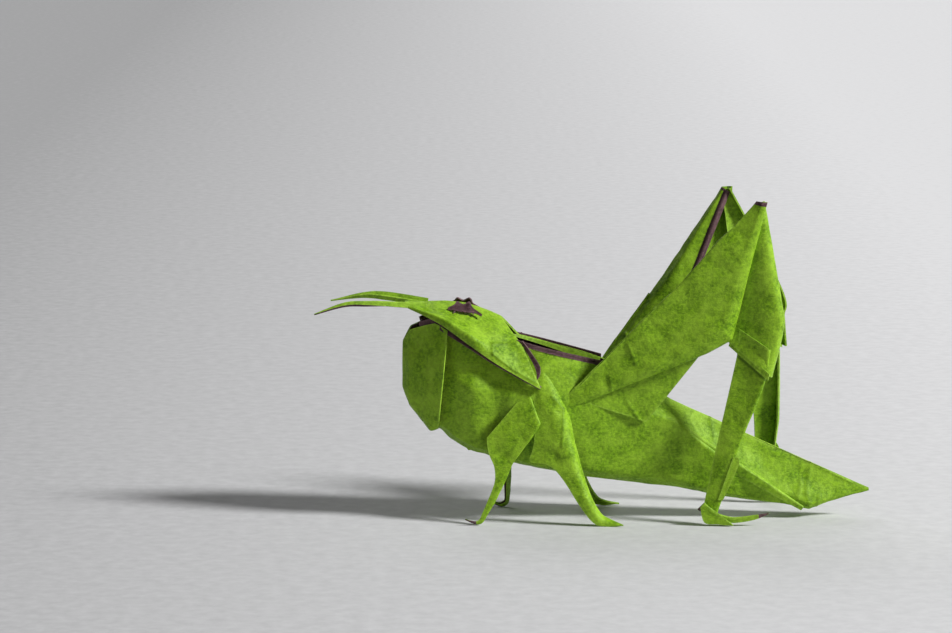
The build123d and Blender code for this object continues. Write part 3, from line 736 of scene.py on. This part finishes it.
def lay_back_hem(side, green, purple):
    """Hem folded in over the edge of the back, and the purple edge that stands above it."""
    where = SIDE_NAMES[side]
    rows = [(CHEST_X + 4.0, BODY[2][5] * 0.74, BODY[2][3] + 2.8, HEM_WIDTH, HEM_WIDTH * 0.45, 0.0)]
    for row, share in ((BODY[2], 0.65), (between(BODY[2], BODY[3], 0.97), 1.0)):
        rows.append((row[2], row[5] - 0.1, row[3] + HEM_LIFT, HEM_WIDTH, HEM_WIDTH * share, 0.0))
    stations = limb(side, DOWN, -5.0, 24.0, rows)
    lay_paper(f"{where}_back_hem", stations, (green, purple, purple), step=FINE_GRID)
    low = [(x, out + 0.3, z - 0.8) for x, out, z, *_ in rows]
    high = [(x, out + 0.3, z + rise) for (x, out, z, *_), rise in zip(rows, (0.25, 0.35, 0.6))]
    lay_ribbon(f"{where}_back_edge", side, low, high, (purple, purple, purple))


def lay_face_tabs(side, purple):
    """Crumpled purple tabs on the brow and along the mouth, the shield's purple lining, which also serves as
    painted shadow under its hem, and the tuck behind it.
    """
    where = SIDE_NAMES[side]
    papers = (purple, purple, purple)
    lay_ribbon(f"{where}_brow", side, *BROW, papers, crumple=TAB_CRUMPLE)
    lay_ribbon(f"{where}_brow_fold", side, *BROW_FOLD, papers, crumple=TAB_CRUMPLE)
    rows = []
    for row in (between(HEAD[1], HEAD[2], 0.4), HEAD[2], between(HEAD[2], HEAD[3], 0.8)):
        rows.append((row[2], row[5] - 0.15, row[3] - 0.5, BROW_WIDTH * 0.9, BROW_WIDTH, 0.0))
    lay_paper(f"{where}_mouth", limb(side, UP, 50.0, 5.0, rows), papers, step=TRIM_GRID, crumple=2.5)
    # Purple lining under the shield's hem, a dark strip that also stands in as painted shadow of the gap
    hidden = [(row[2], row[5] - 1.2, row[3] + 0.6) for row in SHIELD[1:]]
    seen = [(row[2] - 0.2, row[5] - 0.6, row[3] - drop) for row, drop in zip(SHIELD[1:], SHADOW_LINING_DROPS)]
    lay_ribbon(f"{where}_hem_shadow_lining", side, hidden, seen, papers)
    lay_ribbon(f"{where}_neck_tuck", side, *NECK_TUCK, papers, crumple=TAB_CRUMPLE)


def lay_pleat(side, green):
    """Pleat along the flank of the abdomen."""
    rows = []
    for step in range(PLEAT_STEPS + 1):
        x = WAIST_X + ABDOMEN_LENGTH * (PLEAT_START + (PLEAT_END - PLEAT_START) * step / PLEAT_STEPS)
        z = PLEAT_HEIGHT - PLEAT_DROP * (x - WAIST_X) / ABDOMEN_LENGTH
        width = PLEAT_WIDTH * (1.0 - 0.8 * step / PLEAT_STEPS)
        rows.append((x, half_body(x, z) + PLEAT_LIFT, z, width, 1.6, 0.0))
    stations = limb(side, DOWN, 14.0, 95.0, rows)
    lay_paper(f"{SIDE_NAMES[side]}_pleat", stations, (green, green, green), step=FINE_GRID)


def lay_fore_leg(side, green, purple):
    """Kite against the chest, narrow shank and a purple toe; the right foot is set further back."""
    where = SIDE_NAMES[side]
    root_x = CHEST_X + 9.5
    swing = 0.0 if side == LEFT else 6.0
    rows = (
        (root_x, half_body(root_x, FORE_ROOT_HEIGHT) + 0.3, FORE_ROOT_HEIGHT, 1.2, ROOT_DEPTH * 2, 0.0),
        (root_x + 3.2, FORE_REACH - 0.6, KITE_HEIGHT, FORE_KITE, FORE_TUCK * 1.4, 5.0),
        (root_x - 0.8, FORE_REACH - 0.4, KITE_HEIGHT - 6.2, FORE_KITE * 0.52, FORE_TUCK * 1.2, 6.6),
        (root_x - 3.8, FORE_REACH - 0.2, KITE_HEIGHT - 10.5, FORE_KITE * 0.31, FORE_TUCK, 3.0),
        (root_x - 6.3 + swing * 0.4, FORE_REACH - 0.1, KITE_HEIGHT - 16.3, FORE_SHANK, FORE_TUCK, 0.3),
        (root_x - 10.5 + swing, FORE_REACH, 1.8, FORE_SHANK * 0.65, FORE_TUCK * 0.7, 0.0),
        (root_x - 11.9 + swing, FORE_REACH, 0.0, FORE_SHANK * 0.6, FORE_TUCK * 0.6, 0.0),
        (root_x - 13.7 + swing, FORE_REACH, 0.0, FORE_SHANK * 0.4, FORE_TUCK * 0.4, 0.0),
    )
    toe = (root_x - 16.1 + swing, side * FORE_REACH, 1.6)
    stations = limb(side, FORWARD, LEG_TILT, FORE_FOLD, rows)
    lay_paper(f"{where}_fore_leg", bent_round(stations, 1, *KITE_BEND), (green, purple, green, purple),
              tip=toe, curve=(0.0, 0.2, 0.5, 0.8), step=FINE_GRID, end_from=0.93, crumple=1.4, rubbed_and_lit=(0, 6))
    hidden, seen = [], []
    for edge, crease, _ in stations[1:4]:
        ahead = unit(edge - crease)
        x, y, z = edge - ahead * 1.2
        hidden.append((x, abs(y) - 0.5, z))
        x, y, z = edge - ahead * 0.1
        seen.append((x, abs(y) - 0.5, z))
    lay_ribbon(f"{where}_kite_lining", side, hidden, seen, (purple, purple, purple))


def lay_mid_leg(side, green):
    """Skirt against the flank that narrows to a thigh, a slim shank, and a toe turned back."""
    rows = (
        (MID_X + 0.4, half_body(MID_X, MID_ROOT_HEIGHT) + 0.3, MID_ROOT_HEIGHT, 3.0, ROOT_DEPTH, 0.0),
        (MID_X + 3.7, MID_REACH - 2.7, MID_ROOT_HEIGHT - 5.8, MID_SKIRT * 0.57, TUCK_WIDTH, 0.0),
        (MID_X + 6.2, MID_REACH - 1.7, MID_ROOT_HEIGHT - 12.2, MID_SKIRT * 0.74, TUCK_WIDTH, 0.0),
        (MID_X + 7.2, MID_REACH - 1.1, MID_ROOT_HEIGHT - 17.3, MID_SKIRT * 0.87, TUCK_WIDTH, 0.0),
        (MID_X + 7.8, MID_REACH - 0.8, MID_ROOT_HEIGHT - 19.8, MID_SKIRT, TUCK_WIDTH, 0.0),
        (MID_X + 8.2, MID_REACH - 0.7, MID_ROOT_HEIGHT - 21.3, MID_THIGH * 1.35, TUCK_WIDTH, 0.0),
        (MID_X + 8.7, MID_REACH - 0.5, MID_ROOT_HEIGHT - 23.2, MID_THIGH, TUCK_WIDTH, 0.0),
        (MID_X + 9.8, MID_REACH - 0.3, MID_ROOT_HEIGHT - 26.9, MID_THIGH * 0.72, 3.0, 0.0),
        (MID_X + 11.7, MID_REACH, MID_ROOT_HEIGHT - 32.1, MID_SHANK * 0.8, 2.6, 0.0),
        (MID_X + 14.1, MID_REACH, 2.6, MID_SHANK * 0.6, 2.4, 0.0),
        (MID_X + 16.4, MID_REACH, 1.3, MID_SHANK * 0.4, 2.0, 0.0),
    )
    toe = (MID_X + 20.1, side * (MID_REACH + 0.3), 0.4)
    crumple = 1.6 if side == LEFT else 2.4
    stations = bent_round(limb(side, FORWARD, LEG_TILT, MID_FOLD, rows), 1, *MID_BEND)
    lay_paper(f"{SIDE_NAMES[side]}_mid_leg", stations, (green, green, green), tip=toe, step=FINE_GRID,
              crumple=crumple, creases=pressed(MID_CREASES, side), rubbed_and_lit=(0, 6))


# Hind legs: reach of the foot, then hip, knee, bend and cuff of the sleeve, calf and ankle, each as its place
# behind the hip fold and how far it is above or below its height
HIND_LEGS = {
    LEFT: (LEFT_HIND_REACH, (-9.7, 0.0), (37.0, 0.0), (42.8, 0.0), (40.7, 0.0), (35.4, 0.0), (28.6, 0.0)),
    RIGHT: (RIGHT_HIND_REACH, (-5.2, 0.0), (30.1, 0.6), (44.7, -0.5), (46.0, 4.3), (45.4, -2.5), (43.6, 0.0)),
}


def rolled(stations, side, widths):
    """The stations with the edge of the flap rolled in and the tuck puffed up beside the crease."""
    inward = np.array((0.0, -side, 0.0))
    longer = []
    for (edge, crease, tuck), width in zip(stations, widths):
        back = unit(crease - edge)
        over = edge - inward * ROLL_LIFT * width
        hem = over + (back * HEM_BACK + inward * HEM_IN) * width
        proud = over + (back * ROLL_START - inward * ROLL_RISE) * width
        puff = crease + (tuck - crease) * PUFF_PLACE + inward * PUFF_HEIGHT * width
        longer.append([hem, over, proud, crease, puff, tuck])
    return bent_round(longer, 1, *ROLL_BEND)


def lay_femur(side, hip, knee, green, purple):
    """Under layer rooted in the flank, the folded cover that rises to the knee, and its purple roll."""
    where = SIDE_NAMES[side]
    root = (hip[0], half_body(*hip) + 0.4, hip[1])
    top = (knee[0], KNEE_REACH, knee[1])
    lower, upper = (between(root, top, share) for share in FEMUR_STOPS)
    rows = (
        (root[0], root[1] - LAYER_STEP, root[2], FEMUR_WIDTH * 0.97, 3.0, FEMUR_POINT),
        (lower[0], lower[1] - LAYER_STEP, lower[2], FEMUR_WIDTH * 0.85, 2.0, 0.0),
    )
    stations = limb(side, BACKWARD, UNDER_TILT, FEMUR_FOLD - 5.0, rows)
    lay_paper(f"{where}_femur_under", stations, (green, green, green),
              creases=pressed(FLANK_CREASES[:1], side))
    tucked = between(root, top, ROOT_TUCK)
    rows = (
        (tucked[0], tucked[1] - ROOT_SINK, tucked[2], FEMUR_WIDTH * 0.13, 4.0, 0.0),
        (*lower, FEMUR_WIDTH * 0.89, FEMUR_TUCK, 0.0),
        (*upper, FEMUR_WIDTH, FEMUR_TUCK - 0.5, 0.0),
        (*top, KNEE_WIDTH, KNEE_WIDTH, KNEE_WIDTH * 0.8),
    )
    stations = limb(side, BACKWARD, COVER_TILT, FEMUR_FOLD, rows)
    lay_paper(f"{where}_femur", rolled(stations, side, FEMUR_ROLLS), (green, green, green, purple),
              curve=(0.0,), step=FINE_GRID, end_from=0.985, creases=pressed(FEMUR_CREASES, side),
              rubbed_and_lit=(0, 7, 9), fold_width=FEMUR_ROUND)
    roll = []
    for _, crease, edge in stations[1:]:
        ahead, inward = unit(edge - crease), np.array((0.0, -side, 0.0))
        roll.append([edge - ahead * 1.5 + inward * 0.3, edge - ahead * 0.3 + inward * 0.9,
                     edge + ahead * 0.6 - inward * 0.2])
    lay_paper(f"{where}_femur_roll", roll, (purple, purple, purple), curve=(0.0,), step=TRIM_GRID,
              crumple=0.6)


def lay_tibia(side, reach, knee, bend, cuff, calf, ankle, green):
    """Sleeve cut off aslant, the band under its edge, the narrower shank with painted shadow lines under the
    cuff, and the flap on its calf.
    """
    where = SIDE_NAMES[side]
    papers = (green, green, green)
    rows = (
        (knee[0] + 1.6, KNEE_REACH - 0.2, knee[1] - 0.2, KNEE_WIDTH, KNEE_WIDTH, 0.0),
        (bend[0], KNEE_REACH + 0.4, bend[1], CUFF_WIDTH * 0.95, TUCK_WIDTH, 0.0),
        (bend[0] + 0.7, KNEE_REACH + 0.4, bend[1] - HOCK_LENGTH, CUFF_WIDTH, TUCK_WIDTH, 0.0),
        (cuff[0], KNEE_REACH + 0.3, cuff[1], CUFF_WIDTH, TUCK_WIDTH, -CUFF_SLANT),
    )
    stations = limb(side, FORWARD, SLEEVE_TILT, SLEEVE_FOLD, rows)
    lay_paper(f"{where}_sleeve", bent_round(stations, 1, *SLEEVE_BEND), papers, step=FINE_GRID, rubbed_and_lit=(0, 6))
    edge, crease, _ = stations[-1]
    fall = unit(crease - stations[-2][1])
    inside, below = [], []
    for share in (0.05, 0.5, 0.97):
        x, y, z = edge + (crease - edge) * share - fall * 0.8
        inside.append((x, abs(y) - 0.25, z))
        x, y, z = edge + (crease - edge) * share + fall * 0.8
        below.append((x, abs(y) - 0.2, z))
    lay_ribbon(f"{where}_cuff_band", side, inside, below, papers, crumple=0.5)

    # Painted shadow: two dark lines on the shank just under the cuff's edge
    cuff_shadow_lines = [(edge + fall * drop, crease + fall * drop, -0.1, 0.4, 0.9) for drop in (0.3, 1.3)]
    inner = between(cuff, bend, 0.35)
    shank_out = KNEE_REACH + 0.3 - LAYER_STEP
    middle = (KNEE_REACH + reach) / 2
    rows = (
        (inner[0] - 0.3, shank_out, inner[1], SHANK_WIDTH * 1.15, TUCK_WIDTH, -4.0),
        (cuff[0] - 0.5, shank_out, cuff[1], SHANK_WIDTH * 1.15, TUCK_WIDTH, -3.0),
        (calf[0], middle, calf[1], SHANK_WIDTH * 0.88, TUCK_WIDTH, 0.0),
        (ankle[0], reach, ankle[1], ANKLE_WIDTH, 3.0, 0.0),
        (ankle[0] - 0.3, reach, ankle[1] - 2.0, ANKLE_WIDTH * 0.6, 2.6, 0.0),
    )
    stations = bent_round(limb(side, FORWARD, SLEEVE_TILT, SHANK_FOLD, rows), 1, *SHANK_BEND)
    lay_paper(f"{where}_shank", stations, papers, curve=(0.4,), step=FINE_GRID, rubbed_and_lit=(0, 6),
              creases=cuff_shadow_lines)
    hidden, seen = [], []
    for share, rise in ((0.36, 0.1), (0.45, 0.9), (0.65, 0.6), (0.9, 0.1)):
        x, out, z = between((calf[0], middle, calf[1]), (ankle[0], reach, ankle[1]), share)
        hidden.append((x - 1.2, out - 0.5, z))
        seen.append((x + rise, out - 0.35, z))
    lay_ribbon(f"{where}_calf_flap", side, hidden, seen, papers)


def lay_hind_foot(side, reach, ankle_x, green, purple):
    """Heel folded round the ankle, and a long thin toe turned back, purple at its end."""
    where = SIDE_NAMES[side]
    rows = (
        (ankle_x - 3.8, reach + 0.2, 6.2, 1.8, 3.4, 0.0),
        (ankle_x - 1.2, reach + 0.2, 4.2, 4.2, 3.0, 0.0),
        (ankle_x + 1.2, reach + 0.2, 2.2, 2.2, 2.2, 0.0),
    )
    heel_end = (ankle_x + 3.2, side * (reach + 0.4), 0.3)
    stations = limb(side, DOWN, 8.0, 40.0, rows)
    lay_paper(f"{where}_heel", stations, (green, purple, green), tip=heel_end, step=TRIM_GRID)
    rows = (
        (ankle_x - 1.8, reach - 0.2, 3.8, 2.0, 1.6, 0.0),
        (ankle_x + TOE_LENGTH * 0.25, reach - 0.2, 2.4, 1.6, 1.4, 0.0),
        (ankle_x + TOE_LENGTH * 0.7, reach - 0.2, 2.8, 1.2, 1.0, 0.0),
    )
    toe = (ankle_x + TOE_LENGTH, side * (reach - 0.2), 3.2)
    stations = limb(side, DOWN, LEG_TILT, 60.0, rows)
    lay_paper(f"{where}_hind_toe", stations, (green, purple, green, purple), tip=toe, step=TRIM_GRID,
              end_from=0.8)


def lay_hind_leg(side, green, purple):
    """Femur, tibia and foot of one hind leg."""
    reach, *places = HIND_LEGS[side]
    hip, knee, bend, cuff, calf, ankle = [(HIP_X + x, z + lift) for (x, lift), z in zip(places, HIND_HEIGHTS)]
    lay_femur(side, hip, knee, green, purple)
    lay_tibia(side, reach, knee, bend, cuff, calf, ankle, green)
    lay_hind_foot(side, reach, ankle[0], green, purple)


# Antennae: root, two bends and the tip, each as its place from the nose, its distance from the middle and
# how far it is above or below the crown
ANTENNAE = {
    LEFT: ((6.0, 2.6, -0.4), (-8.0, 4.6, -0.1), (-14.5, 5.0, -0.5), (-22.0, 5.0, -3.5)),
    RIGHT: ((6.0, 2.6, -2.6), (-4.6, 3.8, -1.2), (-10.4, 4.0, -0.7), (-18.2, 4.2, -1.2)),
}


def lay_antenna(side, green, purple):
    """A long thin strip, the left one creased along its top and the broader right one along its bottom."""
    root, first, second, end = [(NOSE_X + x, out, CROWN_HEIGHT + lift) for x, out, lift in ANTENNAE[side]]
    leaf = 1.0 if side == LEFT else 2.0
    rows = (
        (*root, 2.2, 1.6, 0.0),
        (*first, ANTENNA_WIDTH * 0.6 * leaf, ANTENNA_WIDTH, 0.0),
        (*second, ANTENNA_WIDTH * 0.4 * leaf, ANTENNA_WIDTH * 0.8, 0.0),
    )
    aim, papers = (DOWN, (green, purple, purple)) if side == LEFT else (UP, (green, green, green))
    stations = limb(side, aim, -15.0, 40.0, rows)
    tip = (end[0], side * end[1], end[2])
    lay_paper(f"{SIDE_NAMES[side]}_antenna", stations, papers, tip=tip, step=ANTENNA_GRID)


def lay_floor(card):
    """Wide flat card under the model."""
    reach = FLOOR_REACH
    mesh = bpy.data.meshes.new("card_floor")
    corners = [(-reach, -reach, 0), (reach, -reach, 0), (reach, reach, 0), (-reach, reach, 0)]
    mesh.from_pydata(corners, [], [(0, 1, 2, 3)])
    mesh.materials.append(card)
    floor = bpy.data.objects.new("card_floor", mesh)
    bpy.context.scene.collection.objects.link(floor)


def add_lamp(name, place, spread_angle, strength):
    """Soft parallel light that comes from the direction of a place, as from a large window."""
    light = bpy.data.lights.new(name, "SUN")
    light.angle = radians(spread_angle)
    light.energy = strength
    lamp = bpy.data.objects.new(name, light)
    lamp.location = place
    lamp.rotation_euler = (-Vector(place)).to_track_quat("-Z", "Y").to_euler()
    bpy.context.scene.collection.objects.link(lamp)


def light_studio():
    """Light from the upper right, a weak one from the left rear, and a world that is paler to the camera."""
    add_lamp("right_lamp", KEY_PLACE, KEY_SPREAD, KEY_STRENGTH)
    add_lamp("rear_lamp", REAR_PLACE, REAR_SPREAD, REAR_STRENGTH)
    world = bpy.data.worlds.new("studio")
    world.use_nodes = True
    tree = world.node_tree
    even = tree.nodes["Background"]
    even.inputs["Color"].default_value = (*AMBIENT_GREY, 1.0)
    even.inputs["Strength"].default_value = AMBIENT_STRENGTH
    pale = tree.nodes.new("ShaderNodeBackground")
    pale.inputs["Color"].default_value = (*SKY_GREY, 1.0)
    mix = tree.nodes.new("ShaderNodeMixShader")
    tree.links.new(tree.nodes.new("ShaderNodeLightPath").outputs["Is Camera Ray"], mix.inputs["Fac"])
    tree.links.new(even.outputs["Background"], mix.inputs[1])
    tree.links.new(pale.outputs["Background"], mix.inputs[2])
    tree.links.new(mix.outputs["Shader"], tree.nodes["World Output"].inputs["Surface"])
    bpy.context.scene.world = world


def place_camera():
    """Long lens, eight degrees above level, looking at the insect's left side."""
    data = bpy.data.cameras.new("photo_camera")
    data.sensor_width = SENSOR_WIDTH
    data.lens = LENS
    camera = bpy.data.objects.new("photo_camera", data)
    camera.location = CAMERA_PLACE
    camera.rotation_euler = (radians(CAMERA_TILT), 0.0, 0.0)
    bpy.context.scene.collection.objects.link(camera)
    bpy.context.scene.camera = camera


def main():
    noise.seed_set(CRUMPLE_SEED)
    grain, wear_and_light = make_grain_group(), make_wear_and_light_group()
    green = make_paper("green_paper", grain, wear_and_light, **GREEN_LOOK)
    purple = make_paper("purple_paper", grain, wear_and_light, **PURPLE_LOOK)
    lay_head_and_body(green, purple)
    lay_shield(green, purple)
    for side in (LEFT, RIGHT):
        lay_back_hem(side, green, purple)
        lay_face_tabs(side, purple)
        lay_pleat(side, green)
        lay_fore_leg(side, green, purple)
        lay_mid_leg(side, green)
        lay_hind_leg(side, green, purple)
        lay_antenna(side, green, purple)
    lay_floor(make_floor_paper())
    light_studio()
    place_camera()
    bpy.context.scene.view_settings.view_transform = "Standard"


main()
